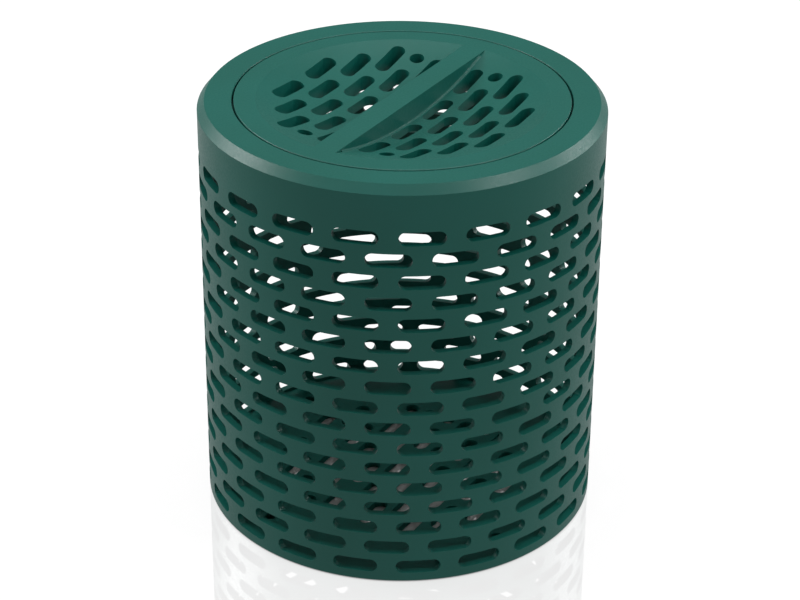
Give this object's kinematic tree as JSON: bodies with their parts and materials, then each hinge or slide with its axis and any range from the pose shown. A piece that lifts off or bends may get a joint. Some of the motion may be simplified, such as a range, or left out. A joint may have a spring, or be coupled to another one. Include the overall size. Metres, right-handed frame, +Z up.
{
  "type": "litter bin",
  "caption": "Round free-standing street litter bin with a slotted metal wall, a flush dished lift-off lid with a flat grab bar, and an inner bag hoop.",
  "frame": {"origin": "centre of the footprint, on the ground", "axes": "+Z up along the drum's axis, -Y towards the front"},
  "size_m": [0.45, 0.45, 0.488],
  "materials": {
    "green_coat": "satin fine-texture powder coat, dark blue-green",
    "green_cast": "satin fine-texture powder coat on cast aluminium, dark blue-green",
    "inner_coat": "satin powder coat, dark green",
    "zinc_steel": "bright zinc plated steel",
    "black_rubber": "matt black rubber"
  },
  "bodies": {
    "bin": {"drum_shell": "green_coat", "top_ring": "green_coat", "base_plate": "green_cast", "seat_ring": "inner_coat", "hoop_hanger_1": "inner_coat", "hoop_hanger_2": "inner_coat", "hoop_hanger_3": "inner_coat", "hoop_hanger_4": "inner_coat", "base_lug_1": "inner_coat", "base_lug_2": "inner_coat", "base_lug_3": "inner_coat", "base_lug_4": "inner_coat", "bag_hoop": "zinc_steel", "ring_screws": "zinc_steel", "hanger_screws": "zinc_steel", "base_screws": "zinc_steel", "seat_pad_1": "black_rubber", "seat_pad_2": "black_rubber", "seat_pad_3": "black_rubber", "seat_pad_4": "black_rubber", "seat_pad_5": "black_rubber", "seat_pad_6": "black_rubber", "foot_1": "black_rubber", "foot_2": "black_rubber", "foot_3": "black_rubber", "foot_4": "black_rubber"},
    "lid": {"lid_plate": "green_cast", "grab_bar": "green_cast", "bar_screws": "zinc_steel"}
  },
  "joints": [
    {"name": "lid_lift", "type": "slide", "parent": "bin", "child": "lid", "axis": [0, 0, 1], "range_m": [0, 0.3]}
  ]
}
